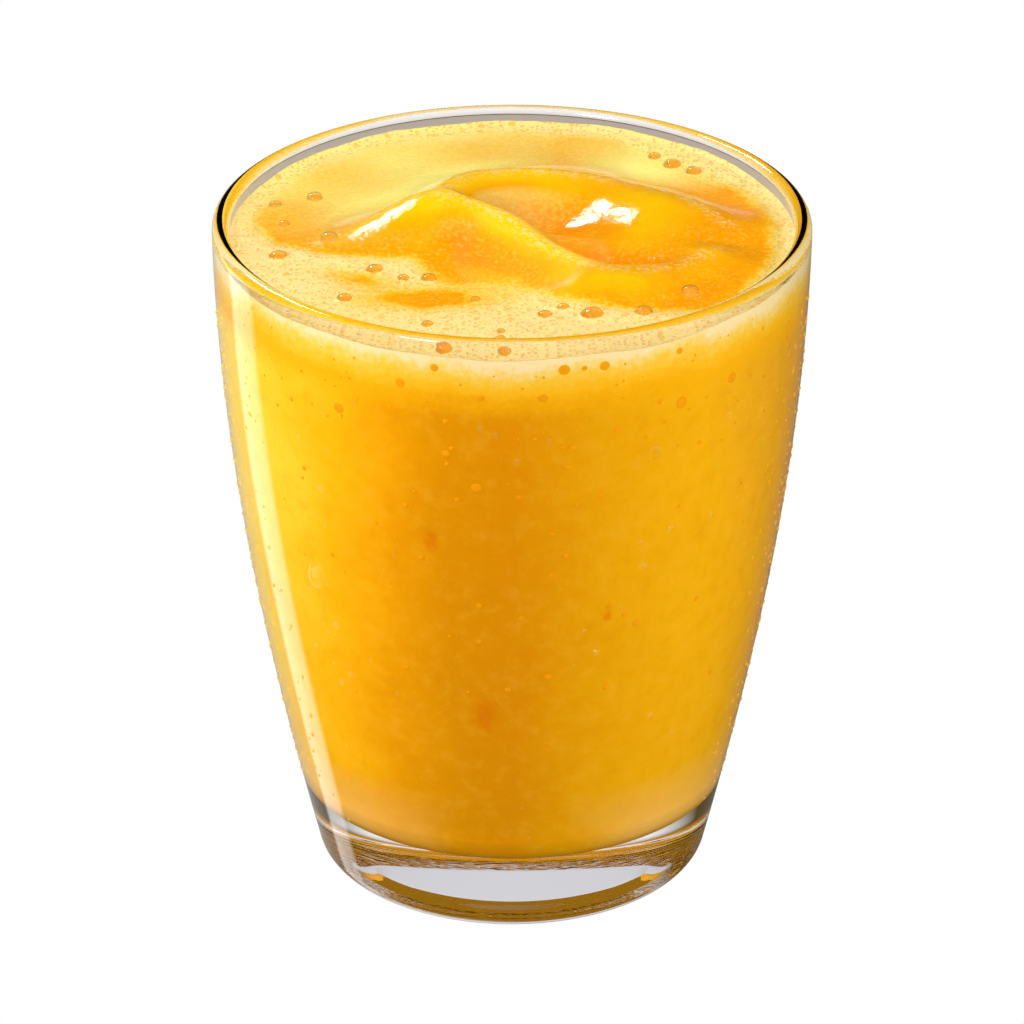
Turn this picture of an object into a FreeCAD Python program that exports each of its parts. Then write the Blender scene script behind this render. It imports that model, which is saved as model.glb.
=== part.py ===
# Mango and coconut milk drink in a thick-floored tumbler.
# Millimetres, +Z up, the bearing ring of the glass rests on z = 0, the axis of the glass is the Z axis,
# -Y is the front.  Three solids, each written to its own file: glass, drink and froth.

import math
import os

import FreeCAD
import Part
from FreeCAD import Vector

os.makedirs("parts", exist_ok=True)

# ---------------------------------------------------------------- glass
GLASS_HEIGHT = 99.0        # table to the top of the rim
RIM_RADIUS = 42.0          # outside, at the rim
FOOT_RADIUS = 27.5         # outside, where the side would meet the table
FOOT_LEAN = 14.0           # degrees the side leans outward at the foot
RIM_LEAN = 0.8             # degrees it still leans outward at the rim
WALL_AT_RIM = 2.4
WALL_AT_FOOT = 3.2
FLOOR_THICKNESS = 12.0
HEEL_ROUND = 3.6           # outside corner between side and base
FLOOR_ROUND = 5.0          # inside corner between side and floor
PUNT_RADIUS = 14.0         # hollow under the base; the bearing ring lies outside it
PUNT_DEPTH = 1.2           # the hollow is flat
PUNT_SLOPE = 2.2           # width of the hollow's sloping edge
PUNT_ROUND = 3.0           # rounding at both ends of the slope

# ---------------------------------------------------------------- drink
FILL_BELOW_RIM = 3.2       # rim to the mean level of the drink
LEVEL_LEAN = 0.7           # the level is this much higher at the back wall, lower at the front
FROTH_DEPTH = 5.0          # froth layer, at the wall
FROTH_THIN = 1.2           # froth layer, at the edge of the smooth swirl
FROTH_START = 16.0         # radius inside which the froth keeps its thin depth
SURFACE_STEP = 2.1         # spacing of the grid that carries the surface of the drink

# The swirl: three folds that leave one peak.  A fold is a cubic curve in plan (start, two pulls, end),
# its height at each end and the reach of its flank to the left and to the right of the curve.
PEAK = (-9.5, 3.0)
PEAK_RISE = 4.2
TAIL_FOLD = dict(pulls=((-13.0, 4.5), (-20.0, 1.5)), end=(-27.0, -3.0), rise=0.5, left=8.0, right=4.2)
FRONT_FOLD = dict(pulls=((3.0, 3.0), (6.0, -29.0)), end=(27.0, -8.0), rise=1.2, left=4.2, right=5.6)
BACK_FOLD = dict(pulls=((-9.0, 19.0), (12.0, 24.0)), end=(30.0, 3.0), rise=0.8, left=4.4, right=6.0)
FOLD_STEPS = 28            # stations along a fold
FOLD_BLEND = 7.0           # how tightly the folds follow their highest neighbour
# Broad rises and hollows: centre, reach along and across, turn in degrees, height.
BODY_SWELL = dict(centre=(6.0, -4.0), along=26.0, across=19.0, turn=-12.0, rise=0.8)
HOLLOW = dict(centre=(5.5, 6.0), along=8.0, across=4.6, turn=-28.0, rise=-2.4)
SHOULDER = dict(centre=(19.5, 5.5), along=8.5, across=6.5, turn=-35.0, rise=2.0)
TRENCH = dict(centre=(14.0, -7.0), along=9.0, across=2.8, turn=-12.0, rise=-1.5)
OUTER_VALLEY = dict(centre=(-2.0, -8.0), along=8.5, across=3.4, turn=-45.0, rise=-1.6)
FRONT_LIP = dict(centre=(14.0, -19.0), along=11.0, across=3.2, turn=3.0, rise=0.7)
# Slow waves over the whole surface.
WAVE_RISE = 0.18
WAVE_LENGTH = 23.0

# Outline of the smooth swirl inside the froth ring: distance left to the wall, and two bays where
# the froth reaches inward (direction, extent before and after it in degrees, reach in mm).
EDGE_FROTH = 2.4
BAYS = (
    dict(turn=235.0, before=46.0, after=70.0, reach=21.5),
    dict(turn=48.0, before=17.0, after=17.0, reach=4.5),
)
BAY_POWER = 4.0
OUTLINE_STEPS = 48

LEVEL = GLASS_HEIGHT - FILL_BELOW_RIM
SIDE_TOP = GLASS_HEIGHT - WALL_AT_RIM / 2
PEAK_ROOM = 6.0            # the swirl's peak may stand this far above where the rim starts to round
TOP_ROOM = 18.0            # height of the block that cuts the surface of the drink


def side_poles(wall_foot, wall_rim):
    """Four poles (radius, height) of the cubic side curve, moved inward by the wall."""
    third = SIDE_TOP / 3
    pull_foot = FOOT_RADIUS + third * math.tan(math.radians(FOOT_LEAN))
    pull_rim = RIM_RADIUS - third * math.tan(math.radians(RIM_LEAN))
    radii = (FOOT_RADIUS, pull_foot, pull_rim, RIM_RADIUS)
    poles = []
    for i, radius in enumerate(radii):
        wall = wall_foot + (wall_rim - wall_foot) * i / 3
        poles.append((radius - wall, third * i))
    return poles


def side_radius(z, poles):
    """Radius of a side curve at height z; its poles are evenly spaced in height."""
    t = z / SIDE_TOP
    r = [p[0] for p in poles]
    return (r[0] * (1 - t) ** 3 + 3 * r[1] * t * (1 - t) ** 2
            + 3 * r[2] * t ** 2 * (1 - t) + r[3] * t ** 3)


def side_edge(poles, z_from=0.0):
    curve = Part.BezierCurve()
    curve.setPoles([Vector(r, 0, z) for r, z in poles])
    if z_from > 0:
        curve.segment(z_from / SIDE_TOP, 1.0)
    return curve.toShape()


def line(a, b):
    return Part.makeLine(Vector(a[0], 0, a[1]), Vector(b[0], 0, b[1]))


def arc(a, mid, b):
    ends = [Vector(p[0], 0, p[1]) for p in (a, mid, b)]
    return Part.Arc(*ends).toShape()


def revolve(edges):
    """Solid of revolution about Z from edges that make a closed outline in the XZ plane."""
    wire = Part.Wire(Part.__sortEdges__(edges))
    solid = Part.Face(wire).revolve(Vector(0, 0, 0), Vector(0, 0, 1), 360)
    return solid


def round_ring(solid, radius, z, size):
    """Round the circular edge of the given radius and height."""
    for edge in solid.Edges:
        if edge.Degenerated or not isinstance(edge.Curve, Part.Circle):
            continue
        if abs(edge.Curve.Radius - radius) < 0.01 and abs(edge.Curve.Center.z - z) < 0.01:
            return solid.makeFillet(size, [edge])
    raise ValueError("no ring edge of radius %g at height %g" % (radius, z))


# ---------------------------------------------------------------- the glass and its inside
OUTER = side_poles(0.0, 0.0)
INNER = side_poles(WALL_AT_FOOT, WALL_AT_RIM)
INNER_FLOOR_RADIUS = side_radius(FLOOR_THICKNESS, INNER)


def make_glass():
    foot = (FOOT_RADIUS, 0.0)
    rim_out = (RIM_RADIUS, SIDE_TOP)
    rim_in = (RIM_RADIUS - WALL_AT_RIM, SIDE_TOP)
    rim_top = (RIM_RADIUS - WALL_AT_RIM / 2, GLASS_HEIGHT)
    floor_out = (INNER_FLOOR_RADIUS, FLOOR_THICKNESS)
    punt_edge = (PUNT_RADIUS, 0.0)
    punt_in = (PUNT_RADIUS - PUNT_SLOPE, PUNT_DEPTH)
    punt_top = (0.0, PUNT_DEPTH)
    edges = [
        line(punt_top, punt_in),
        line(punt_in, punt_edge),
        line(punt_edge, foot),
        side_edge(OUTER),
        arc(rim_out, rim_top, rim_in),
        side_edge(INNER, FLOOR_THICKNESS),
        line(floor_out, (0.0, FLOOR_THICKNESS)),
        line((0.0, FLOOR_THICKNESS), punt_top),
    ]
    solid = revolve(edges)
    solid = round_ring(solid, FOOT_RADIUS, 0.0, HEEL_ROUND)
    solid = round_ring(solid, INNER_FLOOR_RADIUS, FLOOR_THICKNESS, FLOOR_ROUND)
    solid = round_ring(solid, PUNT_RADIUS - PUNT_SLOPE, PUNT_DEPTH, PUNT_ROUND)
    return round_ring(solid, PUNT_RADIUS, 0.0, PUNT_ROUND)


def make_inside():
    """All the space inside the glass, and the room above it that the swirl's peak stands in."""
    top = SIDE_TOP + PEAK_ROOM
    top_in = (RIM_RADIUS - WALL_AT_RIM, SIDE_TOP)
    top_out = (RIM_RADIUS - WALL_AT_RIM, top)
    floor_out = (INNER_FLOOR_RADIUS, FLOOR_THICKNESS)
    edges = [
        line((0.0, FLOOR_THICKNESS), floor_out),
        side_edge(INNER, FLOOR_THICKNESS),
        line(top_in, top_out),
        line(top_out, (0.0, top)),
        line((0.0, top), (0.0, FLOOR_THICKNESS)),
    ]
    return round_ring(revolve(edges), INNER_FLOOR_RADIUS, FLOOR_THICKNESS, FLOOR_ROUND)


# ---------------------------------------------------------------- surface of the drink
def cubic(t, points):
    """Point and direction of a plan cubic at t."""
    a, b, c, d = points
    s = 1 - t
    at = []
    along = []
    for i in (0, 1):
        at.append(a[i] * s ** 3 + 3 * b[i] * t * s * s + 3 * c[i] * t * t * s + d[i] * t ** 3)
        along.append(3 * (b[i] - a[i]) * s * s + 6 * (c[i] - b[i]) * t * s + 3 * (d[i] - c[i]) * t * t)
    return at, along


def fold_stations(fold):
    """Stations along a fold: place, unit direction and height of the crest."""
    points = (PEAK,) + fold["pulls"] + (fold["end"],)
    stations = []
    for k in range(FOLD_STEPS + 1):
        t = k / FOLD_STEPS
        at, along = cubic(t, points)
        size = math.hypot(*along)
        rise = fold["rise"] + (PEAK_RISE - fold["rise"]) * (0.5 + 0.5 * math.cos(math.pi * t))
        stations.append((at, (along[0] / size, along[1] / size), rise))
    return stations


FOLDS = [(fold, fold_stations(fold)) for fold in (TAIL_FOLD, FRONT_FOLD, BACK_FOLD)]


def folds_height(x, y):
    total = 0.0
    for fold, stations in FOLDS:
        middle = (fold["left"] + fold["right"]) / 2
        change = (fold["left"] - fold["right"]) / 2
        for at, along, rise in stations:
            dx = x - at[0]
            dy = y - at[1]
            aside = along[0] * dy - along[1] * dx
            reach = middle + change * math.tanh(aside / 2.0)
            total += (rise * math.exp(-(dx * dx + dy * dy) / reach ** 2)) ** FOLD_BLEND
    return total ** (1 / FOLD_BLEND)


def mound(x, y, form):
    turn = math.radians(form["turn"])
    dx = x - form["centre"][0]
    dy = y - form["centre"][1]
    along = (dx * math.cos(turn) + dy * math.sin(turn)) / form["along"]
    across = (dy * math.cos(turn) - dx * math.sin(turn)) / form["across"]
    return form["rise"] * math.exp(-along * along - across * across)


def surface_height(x, y):
    """Height of the drink's surface above the table."""
    z = LEVEL + LEVEL_LEAN * y / (RIM_RADIUS - WALL_AT_RIM)
    z += folds_height(x, y)
    for form in (BODY_SWELL, HOLLOW, SHOULDER, TRENCH, OUTER_VALLEY, FRONT_LIP):
        z += mound(x, y, form)
    turn = 2 * math.pi / WAVE_LENGTH
    z += WAVE_RISE * math.sin(turn * (x + 0.4 * y)) * math.sin(turn * (0.8 * y - 0.3 * x) + 1.0)
    return z


def make_top_block():
    """Block that lies above the surface of the drink."""
    reach = RIM_RADIUS + SURFACE_STEP
    count = int(round(2 * reach / SURFACE_STEP)) + 1
    step = 2 * reach / (count - 1)
    rows = []
    for j in range(count):
        y = -reach + step * j
        rows.append([Vector(-reach + step * i, y, surface_height(-reach + step * i, y)) for i in range(count)])
    surface = Part.BSplineSurface()
    surface.interpolate(rows)
    return surface.toShape().extrude(Vector(0, 0, TOP_ROOM))


def swirl_outline():
    """Closed curve in plan round the smooth swirl; the froth lies outside it."""
    wall = RIM_RADIUS - WALL_AT_RIM - EDGE_FROTH
    points = []
    for k in range(OUTLINE_STEPS):
        turn = 360.0 * k / OUTLINE_STEPS
        radius = wall
        for bay in BAYS:
            off = (turn - bay["turn"] + 180) % 360 - 180
            extent = bay["before"] if off < 0 else bay["after"]
            radius -= bay["reach"] * math.exp(-(abs(off) / extent) ** BAY_POWER)
        angle = math.radians(turn)
        points.append(Vector(radius * math.cos(angle), radius * math.sin(angle), 0))
    curve = Part.BSplineCurve()
    curve.interpolate(points, PeriodicFlag=True)
    return Part.Wire([curve.toShape()])


def make_froth_room():
    """Space the froth may fill: outside the swirl's outline, above a bowl-shaped lower face."""
    reach = RIM_RADIUS + 1
    wall = RIM_RADIUS - WALL_AT_RIM
    points = []
    for k in range(7):
        r = FROTH_START + (reach - FROTH_START) * k / 6
        share = (r - FROTH_START) / (wall - FROTH_START)
        points.append(Vector(r, 0, LEVEL - FROTH_THIN - (FROTH_DEPTH - FROTH_THIN) * share ** 2))
    curve = Part.BSplineCurve()
    curve.interpolate(points)
    top = GLASS_HEIGHT + TOP_ROOM
    start = (FROTH_START - 8.0, LEVEL - FROTH_THIN)
    edges = [
        line(start, (FROTH_START, LEVEL - FROTH_THIN)),
        curve.toShape(),
        line((reach, points[-1].z), (reach, top)),
        line((reach, top), (start[0], top)),
        line((start[0], top), start),
    ]
    ring = revolve(edges)
    column = Part.Face(swirl_outline()).extrude(Vector(0, 0, GLASS_HEIGHT + 2 * TOP_ROOM))
    return ring.cut(column)


def only_solid(shape, name):
    solids = sorted(shape.Solids, key=lambda s: s.Volume)
    if not solids:
        raise ValueError(name + " came out empty")
    return solids[-1]


glass = make_glass()
filled = only_solid(make_inside().cut(make_top_block()), "filled")
froth_room = make_froth_room()
froth = only_solid(filled.common(froth_room), "froth")
drink = only_solid(filled.cut(froth_room), "drink")

for name, shape in (("glass", glass), ("drink", drink), ("froth", froth)):
    solid = only_solid(shape, name)
    solid.exportStep("parts/%s.step" % name)
    box = solid.BoundBox
    print("%-6s valid %s  volume %.1f  z %.2f to %.2f  across %.2f x %.2f  faces %d" % (
        name, solid.isValid(), solid.Volume, box.ZMin, box.ZMax, box.XLength, box.YLength, len(solid.Faces)))
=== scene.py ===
import math
import random

import bmesh
import bpy
import numpy as np
from mathutils import Matrix, Vector


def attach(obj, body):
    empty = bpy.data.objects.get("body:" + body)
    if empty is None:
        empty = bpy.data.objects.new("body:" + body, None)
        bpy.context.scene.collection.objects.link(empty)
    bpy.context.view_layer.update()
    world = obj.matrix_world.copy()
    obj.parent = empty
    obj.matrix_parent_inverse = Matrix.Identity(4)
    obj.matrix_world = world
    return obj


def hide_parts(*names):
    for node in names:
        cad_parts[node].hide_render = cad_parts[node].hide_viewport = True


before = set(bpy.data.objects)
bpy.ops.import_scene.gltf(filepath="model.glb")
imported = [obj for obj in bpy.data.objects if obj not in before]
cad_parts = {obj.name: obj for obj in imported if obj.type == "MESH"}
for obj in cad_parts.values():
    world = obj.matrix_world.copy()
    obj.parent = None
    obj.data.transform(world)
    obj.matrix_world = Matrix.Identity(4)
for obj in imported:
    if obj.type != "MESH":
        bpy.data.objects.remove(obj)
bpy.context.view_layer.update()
MM = 0.001
rng = random.Random(7)

# ------------------------------------------------------------------ sizes in mm
GLASS_HEIGHT = 99.0
RIM_RADIUS = 42.0
FOOT_RADIUS = 27.5
FOOT_LEAN = 14.0           # degrees that the side leans out at the foot
RIM_LEAN = 0.8             # and at the rim
WALL_AT_RIM = 2.4
WALL_AT_FOOT = 3.2
FLOOR_THICKNESS = 12.0
HEEL_ROUND = 3.6
FLOOR_ROUND = 5.0          # rounded corner inside, between floor and wall
PUNT_RADIUS = 14.0         # shallow hollow under the floor
PUNT_DEPTH = 1.2
PUNT_SLOPE = 2.2           # width of the sloping edge of the hollow
STIPPLE_OUT = 23.4         # the stippled bearing ring runs from the hollow to here
SIDE_TOP = GLASS_HEIGHT - WALL_AT_RIM / 2
INTO_WALL = 0.06           # the drink reaches this far into the glass, so no air gap shows
SIDE_STEPS = 48            # rows of faces up each side of the glass
RIM_STEPS = 16
FLAT_STEPS = 8
CORNER_STEPS = 12

FILL_BELOW_RIM = 3.2
LEVEL = GLASS_HEIGHT - FILL_BELOW_RIM
LEVEL_LEAN = 0.7           # the level stands this much higher at the back
WALL = RIM_RADIUS - WALL_AT_RIM
SIDE_ROWS = 30
SKIN_GRAIN = 0.05          # unevenness of the skin, and how wide its lumps are
SKIN_LUMP = 2.2

# The swirl: three folds run out from one peak. Pulls and end shape each fold's line, rise is its
# height at the end, left and right are its reach to either side.
PEAK = (-9.5, 3.0)
PEAK_RISE = 4.2
TAIL_FOLD = dict(pulls=((-13.0, 4.5), (-20.0, 1.5)), end=(-27.0, -3.0), rise=0.5,
                 left=8.0, right=4.2)
FRONT_FOLD = dict(pulls=((3.0, 3.0), (6.0, -29.0)), end=(27.0, -8.0), rise=1.2,
                  left=4.2, right=5.6)
BACK_FOLD = dict(pulls=((-9.0, 19.0), (12.0, 24.0)), end=(30.0, 3.0), rise=0.8,
                 left=4.4, right=6.0)
FOLD_STEPS = 28
FOLD_BLEND = 7.0           # the higher, the sharper two folds meet
BODY_SWELL = dict(centre=(6.0, -4.0), along=26.0, across=19.0, turn=-12.0, rise=0.8)
HOLLOW = dict(centre=(5.5, 6.0), along=8.0, across=4.6, turn=-28.0, rise=-2.4)
SHOULDER = dict(centre=(19.5, 5.5), along=8.5, across=6.5, turn=-35.0, rise=2.0)
TRENCH = dict(centre=(14.0, -7.0), along=9.0, across=2.8, turn=-12.0, rise=-1.5)
OUTER_VALLEY = dict(centre=(-2.0, -8.0), along=8.5, across=3.4, turn=-45.0, rise=-1.6)
FRONT_LIP = dict(centre=(14.0, -19.0), along=11.0, across=3.2, turn=3.0, rise=0.7)
MOUNDS = (BODY_SWELL, HOLLOW, SHOULDER, TRENCH, OUTER_VALLEY, FRONT_LIP)
WAVE_RISE = 0.18
WAVE_LENGTH = 23.0
NEIGHBOURHOOD = 6.0        # how far round a place its relief is measured

FROTH_DEPTH = 5.0          # against the glass
FROTH_THIN = 1.2           # at its inner edge, FROTH_START from the axis
FROTH_START = 16.0
FROTH_LEAST = 0.15         # never thinner than this
FROTH_PUFF = 0.22          # full froth stands this far above the swirl
FROTH_LUMP = 0.10
FROTH_CLIMB = 0.35         # and climbs the glass this far
FROTH_TUCK = 0.07          # its inner edge dips this far under the swirl's skin
FROTH_OVERLAP = 1.6        # the ring of froth reaches this far in over the swirl's outline
FROTH_ROWS = 8
EDGE_FROTH = 2.4           # the least width of the ring
# Bays where the froth is wide: turn and half widths in degrees, reach inward in mm.
BAYS = (
    dict(turn=235.0, before=46.0, after=70.0, reach=21.5),
    dict(turn=48.0, before=17.0, after=17.0, reach=4.5),
)
BAY_POWER = 4.0
FILM = 0.07                # wall of a bubble, drawn as thick as it needs to show
BUBBLE_LOW = 0.6           # a froth bubble's height, as a share of its radius
BUBBLE_STAND = 0.15        # it stands this far above the swirl's skin


# ------------------------------------------------------------------ small helpers
def smooth(a, b, x):
    """0 below a, 1 above b, smooth between."""
    t = np.clip((x - a) / (b - a), 0.0, 1.0)
    return t * t * (3 - 2 * t)


def lattice(ix, iy, seed):
    """A repeatable scatter of 0 to 1 over whole numbers."""
    h = np.sin(ix * 127.1 + iy * 311.7 + seed * 74.7) * 43758.5453
    return h - np.floor(h)


def noise(x, y, size, seed=0, octaves=3):
    """Smooth noise of about -1 to 1 whose largest lumps are size across."""
    total = 0.0
    gain = 1.0
    weight = 0.0
    for k in range(octaves):
        u = x / size
        v = y / size
        iu = np.floor(u)
        iv = np.floor(v)
        fu = u - iu
        fv = v - iv
        fu = fu * fu * (3 - 2 * fu)
        fv = fv * fv * (3 - 2 * fv)
        low = lattice(iu, iv, seed + k) * (1 - fu) + lattice(iu + 1, iv, seed + k) * fu
        high = lattice(iu, iv + 1, seed + k) * (1 - fu) + lattice(iu + 1, iv + 1, seed + k) * fu
        total = total + gain * (2 * (low * (1 - fv) + high * fv) - 1)
        weight += gain
        gain *= 0.5
        size *= 0.5
    return total / weight


def side_radius(z, wall_foot=0.0, wall_rim=0.0):
    """Radius of the outside of the glass at height z, moved inward by the wall."""
    t = z / SIDE_TOP
    third = SIDE_TOP / 3
    radii = (
        FOOT_RADIUS,
        FOOT_RADIUS + third * math.tan(math.radians(FOOT_LEAN)),
        RIM_RADIUS - third * math.tan(math.radians(RIM_LEAN)),
        RIM_RADIUS,
    )
    r = [radii[i] - wall_foot - (wall_rim - wall_foot) * i / 3 for i in range(4)]
    return (r[0] * (1 - t) ** 3 + 3 * r[1] * t * (1 - t) ** 2
            + 3 * r[2] * t ** 2 * (1 - t) + r[3] * t ** 3)


def inner_radius(z):
    return side_radius(z, WALL_AT_FOOT, WALL_AT_RIM)


def corner(curve, flat, size):
    """Round corner of the given size between the flat at z = flat and a side curve above it.
    Gives the points from the flat up to the side, and the height where the side takes over."""
    low = flat
    high = flat + 3 * size
    for _ in range(60):
        z = (low + high) / 2
        slope = (curve(z + 0.01) - curve(z - 0.01)) / 0.02
        lean = math.atan(slope)
        if z + size * math.sin(lean) > flat + size:
            high = z
        else:
            low = z
    cx = curve(z) - size * math.cos(lean)
    points = []
    for k in range(CORNER_STEPS + 1):
        a = -math.pi / 2 + (math.pi / 2 - lean) * k / CORNER_STEPS
        points.append((cx + size * math.cos(a), flat + size + size * math.sin(a)))
    return points, z


def finish_piece(name, bm, materials, sharp=None):
    """The finished bmesh as a smooth piece at the origin. Edges sharper than sharp degrees stay
    crisp."""
    mesh = bpy.data.meshes.new(name)
    bm.to_mesh(mesh)
    bm.free()
    for material in materials:
        mesh.materials.append(material)
    mesh.shade_smooth()
    if sharp:
        mesh.set_sharp_from_angle(angle=math.radians(sharp))
    obj = bpy.data.objects.new(name, mesh)
    bpy.context.scene.collection.objects.link(obj)
    return obj


# ------------------------------------------------------------------ surface of the drink
def fold_stations(fold):
    """Places along the line of a fold, each with its direction and height."""
    points = [np.array(p) for p in (PEAK,) + fold["pulls"] + (fold["end"],)]
    stations = []
    for k in range(FOLD_STEPS + 1):
        t = k / FOLD_STEPS
        s = 1 - t
        at = (points[0] * s ** 3 + 3 * points[1] * t * s * s
              + 3 * points[2] * t * t * s + points[3] * t ** 3)
        along = ((points[1] - points[0]) * s * s + 2 * (points[2] - points[1]) * t * s
                 + (points[3] - points[2]) * t * t)
        along = along / np.linalg.norm(along)
        rise = fold["rise"] + (PEAK_RISE - fold["rise"]) * (0.5 + 0.5 * math.cos(math.pi * t))
        stations.append((at, along, rise))
    return stations


FOLDS = [(fold, fold_stations(fold)) for fold in (TAIL_FOLD, FRONT_FOLD, BACK_FOLD)]


def folds_height(x, y):
    """The folds as one smooth ridge, steeper on the side where their reach is short."""
    total = 0.0
    for fold, stations in FOLDS:
        middle = (fold["left"] + fold["right"]) / 2
        change = (fold["left"] - fold["right"]) / 2
        for at, along, rise in stations:
            dx = x - at[0]
            dy = y - at[1]
            aside = along[0] * dy - along[1] * dx
            reach = middle + change * np.tanh(aside / 2.0)
            total = total + (rise * np.exp(-(dx * dx + dy * dy) / reach ** 2)) ** FOLD_BLEND
    return total ** (1 / FOLD_BLEND)


def mound(x, y, form):
    """A soft oval rise or dip."""
    turn = math.radians(form["turn"])
    dx = x - form["centre"][0]
    dy = y - form["centre"][1]
    along = (dx * math.cos(turn) + dy * math.sin(turn)) / form["along"]
    across = (dy * math.cos(turn) - dx * math.sin(turn)) / form["across"]
    return form["rise"] * np.exp(-along * along - across * across)


def surface_height(x, y):
    """Height of the swirl's skin, which also carries the froth."""
    z = LEVEL + LEVEL_LEAN * y / WALL + folds_height(x, y)
    for form in MOUNDS:
        z = z + mound(x, y, form)
    turn = 2 * math.pi / WAVE_LENGTH
    return z + WAVE_RISE * np.sin(turn * (x + 0.4 * y)) * np.sin(turn * (0.8 * y - 0.3 * x) + 1.0)


def outside_swirl(x, y):
    """How far outside the outline of the smooth swirl a place lies, in mm."""
    turn = np.degrees(np.arctan2(y, x))
    edge = WALL - EDGE_FROTH
    for bay in BAYS:
        off = (turn - bay["turn"] + 180) % 360 - 180
        half = np.where(off < 0, bay["before"], bay["after"])
        edge = edge - bay["reach"] * np.exp(-(np.abs(off) / half) ** BAY_POWER)
    return np.hypot(x, y) - edge


# Smooth pools that break the froth: centre, reach along and across, turn.
POOLS = (
    dict(centre=(-10.5, -20.0), along=11.5, across=4.2, turn=4.0, rise=1.0),
    dict(centre=(-21.5, -14.0), along=6.0, across=2.6, turn=-25.0, rise=0.8),
    dict(centre=(-30.0, -1.0), along=5.0, across=2.0, turn=20.0, rise=0.4),
)
# Small shreds of deeper orange pulp against the glass: turn in degrees, height and half width.
FLECKS = ((253.2, 67.3, 1.3), (263.7, 38.5, 2.2), (291.0, 54.5, 0.9))
# Single bubbles that stand in the froth: place and radius.
BUBBLES = [
    (-33.5, 11.0, 0.9), (-28.0, 13.5, 1.15), (-32.0, 4.0, 0.8), (-25.5, -2.0, 1.2),
    (-32.5, -7.0, 1.3), (-19.0, -11.5, 1.15), (-15.0, -14.0, 0.8), (-11.5, -14.0, 1.05),
    (-23.0, -20.5, 1.05), (-11.5, -28.5, 0.85), (-5.0, -21.0, 0.7), (4.5, -25.5, 1.0),
    (7.0, -23.5, 0.8), (11.0, -25.8, 1.6), (18.0, -25.0, 1.25), (24.5, -19.0, 1.25),
    (-1.5, -33.3, 0.9), (-1.5, -30.8, 0.6), (20.5, 28.0, 0.9), (23.0, 25.0, 1.3),
    (26.0, 22.5, 1.1), (-9.0, -36.0, 1.1), (-1.0, -36.5, 0.9),
]


def froth_amount(x, y):
    """0 on the smooth swirl, 1 on full froth."""
    s = outside_swirl(x, y)
    s = s + 2.2 * noise(x, y, 9.0, seed=3) + 0.8 * noise(x, y, 2.5, seed=8)
    f = smooth(-2.0, 3.0, s)
    for pool in POOLS:
        cover = np.clip(mound(x, y, pool) * (1.1 + 0.5 * noise(x, y, 4.0, seed=21)), 0, 1)
        f = f * (1 - cover ** 1.3 * 0.92)
    # The back and the left stay smooth up to a thin pale edge, with fine streaks.
    r = np.hypot(x, y)
    turn = np.degrees(np.arctan2(y, x))
    back = np.exp(-((turn - 118) / 55) ** 2)
    veil = 0.42 * smooth(20.0, 37.0, r) * back * (1 + 0.35 * noise(x * 0.35, y, 3.0, seed=14))
    rim = smooth(WALL - 5.0, WALL - 0.6, r + 0.9 * noise(x, y, 3.0, seed=5))
    return np.clip(np.maximum(np.maximum(f, veil), rim * 0.95), 0, 1)


def crest_streaks(x, y):
    """Pale streaks of fine foam drawn out along the crests of the folds."""
    total = 0.0
    for _, stations in FOLDS:
        for at, along, _ in stations:
            dx = x - at[0]
            dy = y - at[1]
            run = dx * along[0] + dy * along[1]
            side = along[0] * dy - along[1] * dx
            total = np.maximum(total, np.exp(-(run / 2.0) ** 2 - (side / 1.3) ** 2))
    return total


def relief(x, y):
    """How far a place stands above (1) or below (0) the mean of its neighbourhood."""
    here = surface_height(x, y)
    around = 0.0
    for k in range(8):
        a = math.pi * k / 4
        around = around + surface_height(x + NEIGHBOURHOOD * math.cos(a),
                                         y + NEIGHBOURHOOD * math.sin(a)) / 8
    return np.clip(0.5 + (here - around) * 0.28, 0, 1)


def bubble_craters(x, y):
    """The cup under each single bubble and the lip round it."""
    dip = 0.0
    for bx, by, br in BUBBLES:
        d = np.hypot(x - bx, y - by) / br
        cup = -0.38 * br * np.sqrt(np.clip(1 - (d / 0.95) ** 2, 0, 1))
        lip = 0.16 * br * np.exp(-((d - 1.08) / 0.16) ** 2)
        dip = dip + cup + lip
    return dip


def bubble_mask(x, y):
    """1 inside a single bubble, 0 outside."""
    m = 0.0
    for bx, by, br in BUBBLES:
        d = np.hypot(x - bx, y - by) / br
        m = np.maximum(m, smooth(1.12, 0.85, d))
    return m


def froth_floor(x, y):
    """Height of the froth's lower face, lowest against the glass."""
    share = np.clip((np.hypot(x, y) - FROTH_START) / (WALL - FROTH_START), 0, 2)
    return LEVEL - FROTH_THIN - (FROTH_DEPTH - FROTH_THIN) * share ** 2


# ------------------------------------------------------------------ the drink and its froth
GRID = 236
SURFACE_VALUES = ("froth", "cup", "streak", "relief")    # kept at each vertex for the materials
DISC_RADIUS = inner_radius(LEVEL) + INTO_WALL
BORDER_SHARE = 1 / 30      # the disc's outermost part, which follows the lean of the glass
CREASE = 55                # degrees past which an edge stays crisp


def surface_disc():
    """A fine square grid folded into a disc. Gives its bmesh with a layer for each surface value,
    its vertices, their places in mm, and a border value that rises to 1 at the edge."""
    bm = bmesh.new()
    for name in SURFACE_VALUES + ("number",):
        bm.verts.layers.float.new(name)
    bmesh.ops.create_grid(bm, x_segments=GRID, y_segments=GRID, size=1.0)
    verts = bm.verts[:]
    u, v = np.array([vert.co[:2] for vert in verts]).T
    number = bm.verts.layers.float["number"]
    for k, vert in enumerate(verts):
        vert[number] = k
    x = u * np.sqrt(1 - v * v / 2)
    y = v * np.sqrt(1 - u * u / 2)
    border = np.clip(1 - (1 - np.hypot(x, y)) / BORDER_SHARE, 0, 1)
    return bm, verts, x * DISC_RADIUS, y * DISC_RADIUS, border


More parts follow.
